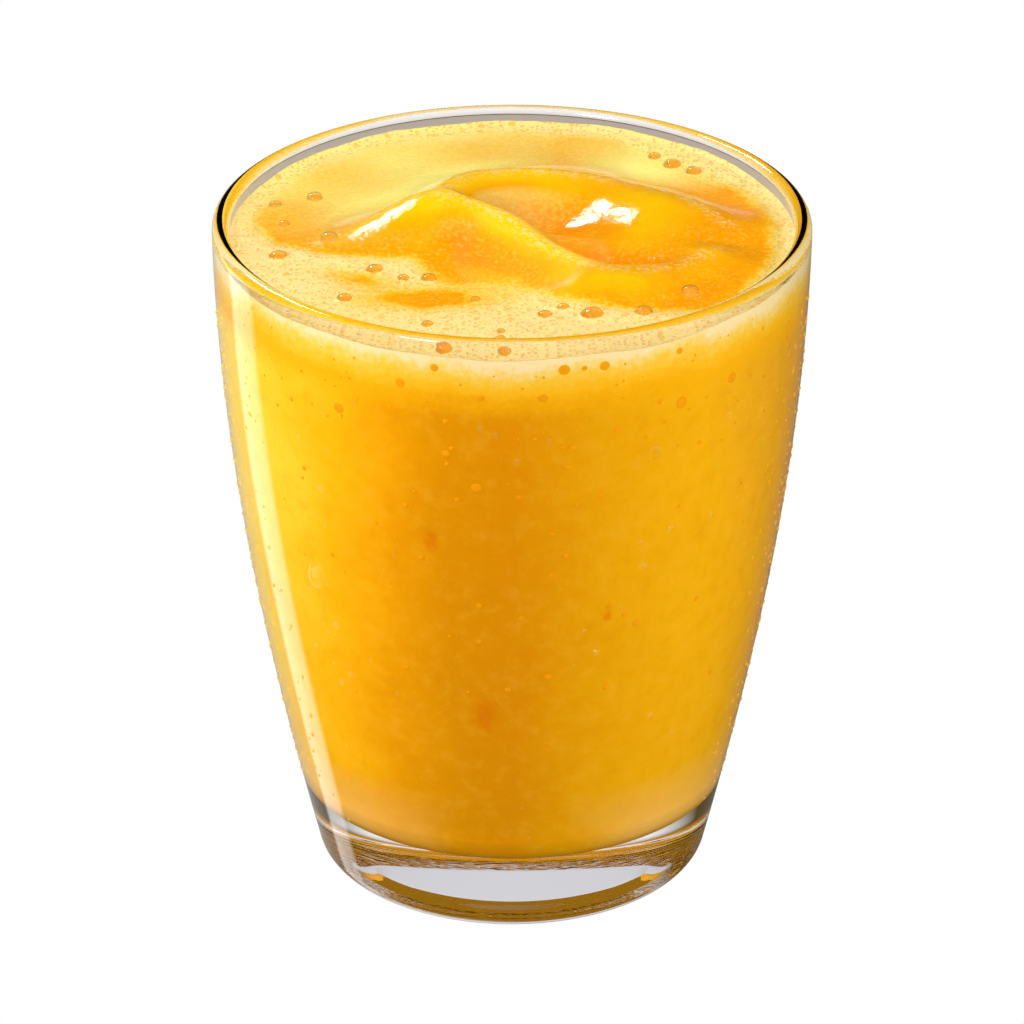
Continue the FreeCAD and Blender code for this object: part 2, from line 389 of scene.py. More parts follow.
def lean_scale(border, z, reach):
    """Scale that moves the border to the inside of the glass at height z, reach mm into it."""
    return 1 + border * ((inner_radius(z) + reach) / DISC_RADIUS - 1)


def set_surface_values(bm, verts, x, y, froth):
    surface = (froth, bubble_mask(x, y), crest_streaks(x, y), relief(x, y))
    for name, values in zip(SURFACE_VALUES, surface):
        layer = bm.verts.layers.float[name]
        for vert, value in zip(verts, values):
            vert[layer] = float(value)


def set_places(verts, x, y, z):
    for vert, place in zip(verts, np.c_[x, y, z] * MM):
        vert.co = place


def extrude_loop(bm, loop, place):
    """Extrudes a border loop once; place gives each new vertex its radius and height in mm."""
    made = bmesh.ops.extrude_edge_only(bm, edges=loop)["geom"]
    ring = {item for item in made if isinstance(item, bmesh.types.BMVert)}
    for vert in ring:
        turn = math.atan2(vert.co.y, vert.co.x)
        r, h = place(vert)
        vert.co = Vector((r * math.cos(turn), r * math.sin(turn), h)) * MM
    border = [item for item in made
              if isinstance(item, bmesh.types.BMEdge) and ring.issuperset(item.verts)]
    return ring, border


def make_drink(top_material, side_material):
    """The drink: its top with a bed for the froth, then down the wall and across the floor."""
    bm, verts, x, y, border = surface_disc()
    z = surface_height(x, y) + SKIN_GRAIN * noise(x, y, SKIN_LUMP, seed=31)
    bed = np.minimum(froth_floor(x, y), z - FROTH_LEAST)
    z = z + (bed - z) * smooth(1.2, 3.0, outside_swirl(x, y))
    set_surface_values(bm, verts, x, y, froth_amount(x, y))
    scale = lean_scale(border, z, INTO_WALL)
    set_places(verts, x * scale, y * scale, z)
    top_faces = set(bm.faces)
    number = bm.verts.layers.float["number"]
    corner_points, corner_top = corner(inner_radius, FLOOR_THICKNESS, FLOOR_ROUND)
    loop = [edge for edge in bm.edges if edge.is_boundary]

    def down_wall(vert):
        top = z[int(round(vert[number]))]
        h = top + (corner_top - top) * k / SIDE_ROWS
        return inner_radius(h) + INTO_WALL, h

    for k in range(1, SIDE_ROWS + 1):
        ring, loop = extrude_loop(bm, loop, down_wall)
    for r, h in reversed(corner_points):
        ring, loop = extrude_loop(bm, loop, lambda vert: (r + INTO_WALL, h - INTO_WALL))
    ring, loop = extrude_loop(bm, loop, lambda vert: (r / 2, h - INTO_WALL))
    middle = (0.0, 0.0, (FLOOR_THICKNESS - INTO_WALL) * MM)
    bmesh.ops.pointmerge(bm, verts=list(ring), merge_co=middle)
    for face in bm.faces:
        face.material_index = 0 if face in top_faces else 1
    bm.verts.layers.float.remove(number)
    bmesh.ops.recalc_face_normals(bm, faces=bm.faces[:])
    return finish_piece("mango_body", bm, [top_material, side_material], CREASE)


def make_froth(top_material, side_material):
    """Ring of froth: its own top, its lower face and its side against the glass."""
    bm, verts, x, y, border = surface_disc()
    s = outside_swirl(x, y)
    f = froth_amount(x, y)
    r = np.hypot(x, y)
    z = surface_height(x, y) + SKIN_GRAIN * noise(x, y, SKIN_LUMP, seed=31)
    z = z + FROTH_PUFF * smooth(0.0, 3.5, s) * f + 0.01 - FROTH_TUCK * smooth(0.6, -1.6, s)
    z = z + FROTH_LUMP * f * noise(x, y, 1.4, seed=41) * smooth(0.0, 2.0, s)
    z = z + bubble_craters(x, y)
    z = z + FROTH_CLIMB * smooth(WALL - 1.0, WALL + 0.1, r)
    low = np.minimum(froth_floor(x, y), z - FROTH_LEAST) - 0.6 * smooth(WALL - 2.0, WALL, r)
    set_surface_values(bm, verts, x, y, f)
    scale = lean_scale(border, z, 2 * INTO_WALL)
    scale_low = lean_scale(border, low, 2 * INTO_WALL)
    top_places = np.c_[x * scale, y * scale, z] * MM
    set_places(verts, x * scale_low, y * scale_low, low)
    inside = {vert for vert, edge in zip(verts, s) if edge <= -FROTH_OVERLAP}
    smooth_faces = [face for face in bm.faces if inside.intersection(face.verts)]
    bmesh.ops.delete(bm, geom=smooth_faces, context="FACES")
    made = bmesh.ops.extrude_face_region(bm, geom=bm.faces[:], use_keep_orig=True)["geom"]
    number = bm.verts.layers.float["number"]
    crown = {item for item in made if isinstance(item, bmesh.types.BMVert)}
    top_faces = {item for item in made if isinstance(item, bmesh.types.BMFace)}
    for vert in crown:
        vert.co = top_places[int(round(vert[number]))]
    for face in bm.faces:
        face.material_index = 0 if face in top_faces else 1
    # The side against the glass, in rows, so that it follows the lean of the wall.
    tall = [edge for edge in bm.edges
            if (edge.verts[0] in crown) != (edge.verts[1] in crown)
            and edge.verts[0].co.xy.length > (WALL - 1.0) * MM]
    rows = bmesh.ops.subdivide_edges(bm, edges=tall, cuts=FROTH_ROWS - 1, use_grid_fill=True)
    for item in rows["geom_inner"]:
        if isinstance(item, bmesh.types.BMVert):
            reach = (inner_radius(item.co.z / MM) + 2 * INTO_WALL) * MM
            item.co.xy = item.co.xy * (reach / item.co.xy.length)
    bm.verts.layers.float.remove(number)
    bmesh.ops.recalc_face_normals(bm, faces=bm.faces[:])
    return finish_piece("froth_ring", bm, [top_material, side_material], CREASE)


# ------------------------------------------------------------------ bubbles and drops
def dome_shape(around, rings):
    """Half a ball of radius 1 with its pole up, open below."""
    bm = bmesh.new()
    bmesh.ops.create_uvsphere(bm, u_segments=around, v_segments=2 * rings, radius=1.0)
    bmesh.ops.delete(bm, geom=[vert for vert in bm.verts if vert.co.z < -0.001], context="VERTS")
    mesh = bpy.data.meshes.new("dome_shape")
    bm.to_mesh(mesh)
    bm.free()
    return mesh


def set_dome(bm, shape, place, axes, size, pear=0.0, inside_out=False):
    """Adds a low dome on a surface. Axes are across, up and out of the surface, size is in mm along
    each, and pear narrows it upward."""
    first_vert = len(bm.verts)
    first_face = len(bm.faces)
    bm.from_mesh(shape)
    verts = bm.verts[first_vert:]
    if pear:
        for vert in verts:
            vert.co.x *= 1 - pear * max(vert.co.y / max(vert.co.xy.length, 1e-6), 0) ** 1.2
    sides = [axis * length * MM for axis, length in zip(axes, size)]
    matrix = Matrix(sides).transposed().to_4x4()
    matrix.translation = place
    bmesh.ops.transform(bm, matrix=matrix, verts=verts)
    if inside_out:
        bmesh.ops.reverse_faces(bm, faces=bm.faces[first_face:])


def close_below(bm):
    """Puts a flat face under each open dome."""
    bmesh.ops.holes_fill(bm, edges=[edge for edge in bm.edges if edge.is_boundary], sides=0)
    bmesh.ops.recalc_face_normals(bm, faces=bm.faces[:])


def make_film_bubbles(material):
    """Each bubble has an outer and an inner face, FILM apart, joined along their foot."""
    bm = bmesh.new()
    shape = dome_shape(around=28, rings=8)
    level_axes = (Vector((1, 0, 0)), Vector((0, 1, 0)), Vector((0, 0, 1)))
    for x, y, radius in BUBBLES:
        skin = float(surface_height(np.array(x), np.array(y)))
        place = Vector((x, y, skin + BUBBLE_STAND)) * MM
        for r, inner in ((radius, False), (radius - FILM, True)):
            set_dome(bm, shape, place, level_axes, (r, r, r * BUBBLE_LOW), inside_out=inner)
        bmesh.ops.bridge_loops(bm, edges=[edge for edge in bm.edges if edge.is_boundary])
    return finish_piece("froth_bubbles", bm, [material])


def on_wall(turn, z, outside):
    """Place on the side of the glass at a turn (degrees) and height (mm), with the directions
    across, up and out."""
    radius = side_radius if outside else inner_radius
    slope = (radius(z + 0.05) - radius(z - 0.05)) / 0.1
    a = math.radians(turn)
    radial = Vector((math.cos(a), math.sin(a), 0))
    up = (radial * slope + Vector((0, 0, 1))).normalized()
    across = Vector((-math.sin(a), math.cos(a), 0))
    out = across.cross(up).normalized()
    return (radial * radius(z) + Vector((0, 0, z))) * MM, (across, up, out)


# The one larger drop that ran down a little: turn in degrees and height in mm.
RUN_DROP = (225.7, 57.3)
# Beads of water on the outside of the glass: turn, height and radius.
BEADS = [
    (298, 80, 1.10), (303, 67, 0.65), (297, 62, 0.70), (313, 67, 0.55), (316, 82, 0.62),
    (303, 36, 0.60), (296, 66, 0.50), (225, 79, 0.40), (230, 72, 0.60), (225, 69, 0.30),
    (230, 66, 0.35), (230, 50, 0.60), (232, 42, 0.50), (229, 40, 0.50), (246, 64, 0.35),
    (244, 41, 0.40), (227, 48, 0.30), (239, 87, 0.35), (271, 81, 0.50), (264, 86, 0.50),
    (267, 85, 0.40), (277, 84, 0.45), (288, 49, 0.50), (285, 53, 0.45),
]
# Patches of mist: turn, height, spread of both, and count.
MIST_PATCHES = ((319, 77, 5, 46), (322, 68, 5, 34), (228, 47, 7, 40), (224, 72, 8, 26))
SIDE_MIST = 620            # specks that gather toward the two sides
LOOSE_MIST = 220           # specks anywhere round the glass
# Bubbles of the drink that lie against the inside of the glass, in the terms of the beads.
WALL_BUBBLES = [
    (248, 91, 0.85), (234, 85, 0.78), (276, 90, 0.66), (263, 76, 0.75), (257, 81, 0.55),
    (264, 90, 0.50), (280, 94, 0.95), (288, 94, 0.85), (284, 94, 0.48), (255, 94, 0.70),
    (257, 86, 0.40), (282, 82, 0.45), (281, 79, 0.38), (288, 74, 0.50), (283, 73, 0.33),
    (259, 74, 0.35), (263, 57, 0.45), (272, 55, 0.42), (263, 51, 0.40), (278, 45, 0.55),
    (278, 62, 0.35), (281, 65, 0.35), (251, 64, 0.38), (248, 72, 0.35), (269, 43, 0.45),
    (318, 87, 0.75), (305, 86, 0.85), (291, 84, 0.50), (304, 94, 0.60), (300, 87, 0.40),
    (295, 54, 0.45), (298, 52, 0.50), (314, 53, 0.45), (292, 42, 0.45),
]
RISING_BUBBLES = 150       # small ones, fewer the lower down
TOP_BUBBLES = 110          # and finer ones just under the froth
WALL_BUBBLE_FLAT = 0.12    # they press this flat against the glass
WALL_BUBBLE_OUT = 0.05     # and into it


def make_drops(material):
    """One drop that ran down a little, then single beads, then mist, finest toward the two sides.
    Each lies open below on the glass."""
    bm = bmesh.new()
    place, axes = on_wall(*RUN_DROP, True)
    set_dome(bm, dome_shape(around=28, rings=8), place, axes, (1.25, 2.4, 1.1), pear=0.62)
    bead = dome_shape(around=20, rings=6)
    for turn, z, r in BEADS:
        place, axes = on_wall(turn, z, True)
        set_dome(bm, bead, place, axes, (r, r * 1.2, r * 0.55))
    mist = []
    for turn, z, spread, count in MIST_PATCHES:
        mist += [(rng.gauss(turn, spread), rng.gauss(z, spread), 0.30) for _ in range(count)]
    for _ in range(SIDE_MIST):
        side = rng.choice((-1, 1))
        turn = 270 + side * (86 - min(abs(rng.gauss(0, 15)), 84))
        mist.append((turn, rng.uniform(14, 92), 0.34))
    mist += [(rng.uniform(0, 360), rng.uniform(14, 92), 0.26) for _ in range(LOOSE_MIST)]
    speck = dome_shape(around=10, rings=3)
    for turn, z, largest in mist:
        r = largest * rng.uniform(0.3, 1.0) ** 1.6
        place, axes = on_wall(turn, min(max(z, 12), 93), True)
        set_dome(bm, speck, place, axes, (r, r * 1.15, r * 0.5))
    return finish_piece("water_drops", bm, [material])


def make_wall_bubbles(material):
    """Flat bubbles of the drink against the glass: the larger ones placed, the others strewn."""
    bm = bmesh.new()
    small = []
    for _ in range(RISING_BUBBLES):
        z = 94.0 - abs(rng.gauss(0, 26))
        if z > 18:
            small.append((rng.uniform(0, 360), z, rng.choice((0.16, 0.20, 0.26, 0.34))))
    for _ in range(TOP_BUBBLES):
        small.append((rng.uniform(0, 360), rng.uniform(83, 95), rng.choice((0.14, 0.18, 0.24))))
    shape = dome_shape(around=20, rings=4)
    for turn, z, r in WALL_BUBBLES + small:
        place, axes = on_wall(turn, z, False)
        place = place + axes[2] * WALL_BUBBLE_OUT * MM
        set_dome(bm, shape, place, axes, (r, r, WALL_BUBBLE_FLAT))
    close_below(bm)
    return finish_piece("wall_bubbles", bm, [material])


# ------------------------------------------------------------------ the glass
def glass_profile():
    """Half section of the tumbler from the axis under its floor to the axis on top of it."""
    steps = range(1, FLAT_STEPS + 1)
    flat = PUNT_RADIUS - PUNT_SLOPE
    profile = [(flat * k / FLAT_STEPS, PUNT_DEPTH) for k in range(FLAT_STEPS + 1)]
    for k in steps:
        t = k / FLAT_STEPS
        radius = PUNT_RADIUS - PUNT_SLOPE * (1 - t)
        profile.append((radius, PUNT_DEPTH * (1 - t * t * (3 - 2 * t))))
    for k in steps:
        profile.append((PUNT_RADIUS + (STIPPLE_OUT - PUNT_RADIUS) * k / FLAT_STEPS, 0.0))
    heel, heel_top = corner(side_radius, 0.0, HEEL_ROUND)
    profile.append(((STIPPLE_OUT + heel[0][0]) / 2, 0.0))
    profile += heel
    for k in range(1, SIDE_STEPS + 1):
        z = heel_top + (SIDE_TOP - heel_top) * k / SIDE_STEPS
        profile.append((side_radius(z), z))
    half = WALL_AT_RIM / 2
    for k in range(1, RIM_STEPS):
        a = math.pi * k / RIM_STEPS
        profile.append((RIM_RADIUS - half + half * math.cos(a), SIDE_TOP + half * math.sin(a)))
    floor, floor_top = corner(inner_radius, FLOOR_THICKNESS, FLOOR_ROUND)
    for k in range(SIDE_STEPS + 1):
        z = SIDE_TOP + (floor_top - SIDE_TOP) * k / SIDE_STEPS
        profile.append((inner_radius(z), z))
    profile += list(reversed(floor))[1:]
    return profile + [(floor[0][0] * 0.6, FLOOR_THICKNESS), (0.0, FLOOR_THICKNESS)]


def make_glass(clear, stippled):
    """The tumbler, turned from its half section, with the bearing ring stippled."""
    bm = bmesh.new()
    line = [bm.verts.new((r * MM, 0.0, z * MM)) for r, z in glass_profile()]
    edges = [bm.edges.new(pair) for pair in zip(line, line[1:])]
    bmesh.ops.spin(bm, geom=line + edges, cent=(0, 0, 0), axis=(0, 0, 1), dvec=(0, 0, 0),
                   angle=2 * math.pi, steps=256, use_merge=True)
    bmesh.ops.remove_doubles(bm, verts=bm.verts[:], dist=0.001 * MM)
    bmesh.ops.recalc_face_normals(bm, faces=bm.faces[:])
    for face in bm.faces:
        middle = face.calc_center_median()
        if middle.z < 0.001 * MM and PUNT_RADIUS * MM < middle.xy.length < STIPPLE_OUT * MM:
            face.material_index = 1
    return finish_piece("tumbler_glass", bm, [clear, stippled])


# ------------------------------------------------------------------ materials
PER_MM = 1000.0            # texture scale 1 repeats once a metre, so this gives one a millimetre
WHITE = (1.0, 1.0, 1.0, 1.0)


def colour(code):
    """Linear colour of an sRGB hex code."""
    out = []
    for k in (0, 2, 4):
        c = int(code[k:k + 2], 16) / 255
        out.append(c / 12.92 if c <= 0.04045 else ((c + 0.055) / 1.055) ** 2.4)
    return (*out, 1.0)


def new_material(name):
    m = bpy.data.materials.new(name)
    m.use_nodes = True
    m.node_tree.nodes.clear()
    return m


def add(tree, kind, inputs=None, out=None, stops=(), **settings):
    """Adds one node. Inputs go to its sockets in order, or by name or number, and a socket given
    there is linked; settings are its properties; stops are a ramp's places and colours. Gives the
    node, or the output that out names."""
    node = tree.nodes.new("ShaderNode" + kind)
    for key, value in settings.items():
        setattr(node, key, value)
    for key, value in inputs.items() if isinstance(inputs, dict) else enumerate(inputs or ()):
        if isinstance(value, bpy.types.NodeSocket):
            tree.links.new(value, node.inputs[key])
        else:
            node.inputs[key].default_value = value
    for k, (at, code) in enumerate(stops):
        element = node.color_ramp.elements[k] if k < 2 else node.color_ramp.elements.new(at)
        element.position = at
        element.color = colour(code)
    return node if out is None else node.outputs[out]


def glass_material(name, stipple=False):
    """Clear soda-lime glass. It lets lamp light through to what it holds, faintly dimmed.
    Stippled, its surface is covered in small pressed dots."""
    m = new_material(name)
    t = m.node_tree
    inputs = {"Base Color": WHITE, "Roughness": 0.0, "IOR": 1.5, "Transmission Weight": 1.0}
    if stipple:
        coords = add(t, "TexCoord").outputs["Object"]
        cells = add(t, "TexVoronoi", {"Vector": coords, "Scale": 1.3 * PER_MM})
        inputs["Normal"] = add(t, "Bump", {
            "Strength": 1.0, "Distance": 0.25 * MM, "Height": cells.outputs["Distance"]}).outputs[0]
    bsdf = add(t, "BsdfPrincipled", inputs)
    clear = add(t, "BsdfTransparent", {0: (0.97, 0.97, 0.96, 1.0)})
    shadow = add(t, "LightPath").outputs["Is Shadow Ray"]
    both = add(t, "MixShader", {0: shadow, 1: bsdf.outputs[0], 2: clear.outputs[0]})
    add(t, "OutputMaterial", {0: both.outputs[0]})
    return m


def water_material(name, tint=WHITE):
    """Clear water, or the thin skin of a bubble when it is tinted."""
    m = new_material(name)
    t = m.node_tree
    bsdf = add(t, "BsdfPrincipled", {
        "Base Color": tint, "Roughness": 0.0, "IOR": 1.33, "Transmission Weight": 1.0})
    clear = add(t, "BsdfTransparent", {0: WHITE})
    shadow = add(t, "LightPath").outputs["Is Shadow Ray"]
    both = add(t, "MixShader", {0: shadow, 1: bsdf.outputs[0], 2: clear.outputs[0]})
    add(t, "OutputMaterial", {0: both.outputs[0]})
    return m


# Painted shade and light on the swirl, deeper orange in its valleys and paler on its crests; and
# colours of the froth from thin to full.
SWIRL_PAINTED_SHADE_TONES = ((0.10, "f79202"), (0.42, "f99c02"), (0.66, "fbae04"), (0.90, "fcc206"))
FROTH_TONES = ((0.0, "fbb006"), (0.30, "fcbf26"), (0.62, "fccc5c"), (1.0, "fddc8e"))
LEMON_FOAM = "fdea7e"
STREAK_FOAM = "fde3a4"
PIT = "f9b02a"
CUP = "f9aa22"
# Where the lemon foam lies: centre, and the distances between which it fades in.
LEMON_LEFT = ((-0.019, 0.027, 0.0957), 34.0 * MM, 13.0 * MM)
LEMON_RIGHT = ((0.020, 0.029, 0.0957), 17.0 * MM, 6.0 * MM)
# Pits: cells in a millimetre, the chance at which pits begin, least and largest size, soft edge.
PIT_SIZES = ((1.25, 0.1, 0.02, 0.26, 0.11), (0.45, 0.55, 0.0, 0.20, 0.04))
DULL_FOOT = ((0.003, -0.0085, 0.096), 12.5 * MM, 8.5 * MM)
DULL = 0.95                # roughness where little light is thrown back


def mango_top():
    """Thick mango puree, wet and smooth, turning to pale micro-foam where the froth value rises."""
    m = new_material("mango_surface")
    t = m.node_tree
    coords = add(t, "TexCoord").outputs["Object"]
    froth = add(t, "Attribute", attribute_name="froth").outputs["Fac"]
    cup = add(t, "Attribute", attribute_name="cup").outputs["Fac"]
    streak = add(t, "Attribute", attribute_name="streak").outputs["Fac"]
    rise = add(t, "Attribute", attribute_name="relief").outputs["Fac"]
    mottle = add(t, "TexNoise", {"Vector": coords, "Scale": 0.16 * PER_MM, "Detail": 3.0}, "Fac")
    grain = add(t, "TexNoise", {"Vector": coords, "Scale": 1.6 * PER_MM, "Detail": 3.0}, "Fac")

    # Froth edge broken by the grain, so that it thins out in specks.
    fray = add(t, "MapRange", (grain, 0.3, 0.7, -0.16, 0.16), 0)
    broken = add(t, "Math", (froth, fray), 0, operation="ADD")
    froth_tone = add(t, "ValToRGB", (broken,), 0, stops=FROTH_TONES)
    # Painted shade and light: the swirl is deeper orange in its valleys and paler on its crests, by
    # the relief value, mottled at random.
    uneven = add(t, "MapRange", (mottle, 0.3, 0.7, -0.12, 0.12), 0)
    lift = add(t, "Math", (rise, uneven), 0, operation="ADD")
    swirl_painted_shade = add(t, "ValToRGB", (lift,), 0, stops=SWIRL_PAINTED_SHADE_TONES)
    cover = add(t, "MapRange", (broken, 0.0, 0.45), 0)
    tone = add(t, "Mix", {0: cover, 6: swirl_painted_shade, 7: froth_tone}, 2, data_type="RGBA")

    # A paler, lemon film of the finest foam toward the back and the left.
    fray = add(t, "MapRange", (grain, 0.3, 0.7, -0.12, 0.12), 0)
    films = []
    for centre, far, near in (LEMON_LEFT, LEMON_RIGHT):
        gap = add(t, "VectorMath", {0: coords, 1: centre}, operation="DISTANCE").outputs["Value"]
        fade = add(t, "MapRange", (gap, far, near), 0)
        films.append(add(t, "Math", (fade, fray), 0, operation="ADD"))
    film = add(t, "Math", films, 0, operation="MAXIMUM")
    valley = add(t, "MapRange", (rise, 0.62, 0.42), 0)
    film = add(t, "Math", (film, valley), 0, operation="MULTIPLY")
    tone = add(t, "Mix", {0: film, 6: tone, 7: colour(LEMON_FOAM)}, 2, data_type="RGBA")

    # Pits of two sizes, deeper orange, only where there is froth. Each cell has its own pit size.
    pits = []
    for scale, chance_from, least, largest, edge in PIT_SIZES:
        cells = add(t, "TexVoronoi", {"Vector": coords, "Scale": scale * PER_MM, "Randomness": 1.0},
                    voronoi_dimensions="2D")
        chance = add(t, "SeparateColor", {0: cells.outputs["Color"]}).outputs[0]
        size = add(t, "MapRange", (chance, chance_from, 1.0, least, largest), 0)
        outside = add(t, "Math", (cells.outputs["Distance"], size), 0, operation="SUBTRACT")
        pits.append(add(t, "MapRange", (outside, 0.0, edge, 1.0, 0.0), 0))
    pits = add(t, "Math", pits, 0, operation="MAXIMUM")
    frothy = add(t, "MapRange", (broken, 0.35, 0.75), 0)
    pits = add(t, "Math", (pits, frothy), 0, operation="MULTIPLY")
    share = add(t, "Math", (pits, 0.6), 0, operation="MULTIPLY")
    tone = add(t, "Mix", {0: share, 6: tone, 7: colour(PIT)}, 2, data_type="RGBA")

    # Pale streaks along the crests and the deeper cup under each bubble.
    share = add(t, "MapRange", (grain, 0.45, 0.62, 0.0, 0.5), 0)
    share = add(t, "Math", (streak, share), 0, operation="MULTIPLY")
    tone = add(t, "Mix", {0: share, 6: tone, 7: colour(STREAK_FOAM)}, 2, data_type="RGBA")
    share = add(t, "Math", (cup, 0.85), 0, operation="MULTIPLY")
    tone = add(t, "Mix", {0: share, 6: tone, 7: colour(CUP)}, 2, data_type="RGBA")

    # The foot of the front fold and the trench behind the folds are less wet and stay dull.
    rough = add(t, "MapRange", (broken, 0.0, 1.0, 0.06, 0.40), 0)
    centre, far, near = DULL_FOOT
    gap = add(t, "VectorMath", {0: coords, 1: centre}, operation="DISTANCE").outputs["Value"]
    dull = add(t, "MapRange", (gap, far, near, 0.0, DULL), 0)
    rough = add(t, "Math", (rough, dull), 0, operation="MAXIMUM")
    place = add(t, "SeparateXYZ", {0: coords})
    back = add(t, "MapRange", (place.outputs["Y"], 8.0 * MM, 12.0 * MM), 0)
    right = add(t, "MapRange", (place.outputs["X"], 14.0 * MM, 18.0 * MM), 0)
    dull = add(t, "Math", (back, right), 0, operation="MULTIPLY")
    trench = add(t, "MapRange", (rise, 0.56, 0.42), 0)
    dull = add(t, "Math", (dull, trench), 0, operation="MULTIPLY")
    dull = add(t, "Math", (dull, DULL), 0, operation="MULTIPLY")
    rough = add(t, "Math", (rough, dull), 0, operation="MAXIMUM")

    # Grain and pits, then fine ripples drawn out along one direction, which break the highlights
    # into strokes.
    lumps = add(t, "Math", (grain, 0.35), 0, operation="MULTIPLY")
    lumps = add(t, "Math", (lumps, pits), 0, operation="SUBTRACT")
    bump = add(t, "Bump", {"Strength": 0.6, "Distance": 0.2 * MM, "Height": lumps}).outputs[0]
    drawn = add(t, "Mapping", {"Vector": coords, "Rotation": (0.0, 0.0, -0.9),
                               "Scale": (1.0, 0.34, 1.0)})
    wave = add(t, "TexNoise", {"Vector": drawn.outputs[0], "Scale": 0.95 * PER_MM, "Detail": 2.0})
    bump = add(t, "Bump", {"Strength": 0.16, "Distance": 0.3 * MM, "Height": wave.outputs["Fac"],
                           "Normal": bump}).outputs[0]
    bsdf = add(t, "BsdfPrincipled", {
        "Base Color": tone, "Roughness": rough, "IOR": 1.37, "Normal": bump,
        "Subsurface Weight": 0.35, "Subsurface Radius": (1.0, 0.45, 0.08),
        "Subsurface Scale": 1.6 * MM})
    add(t, "OutputMaterial", {0: bsdf.outputs[0]})
    return m


# Painted light and shade on the drink behind the glass, from its left side to its right: paler
# toward the sides and yellowest where lamps light it from the left, deepest orange in the middle.
BODY_PAINTED_LIGHT_TONES = ((0.0, "fddd54"), (0.07, "fbd83a"), (0.18, "fabd12"), (0.29, "eca506"),
              (0.38, "e19a04"), (0.50, "e29805"), (0.66, "e8ab0a"), (0.86, "f2b80f"),
              (1.0, "ecb026"))
PALE_PULP = "ffc63c"
DEEP_PULP = "d98602"
PALE_SPECK = "fcd04a"
FLECK = "e07402"
LOW_PAINTED_LIGHT = "f8c878"
FLOOR_PAINTED_SHADE = "cf9420"
# Colours up the side of the froth.
SIDE_FROTH_TONES = ((0.0, "fab80e"), (0.35, "fbc324"), (0.66, "fcd24e"), (0.86, "fde08a"),
                    (1.0, "fde9b0"))


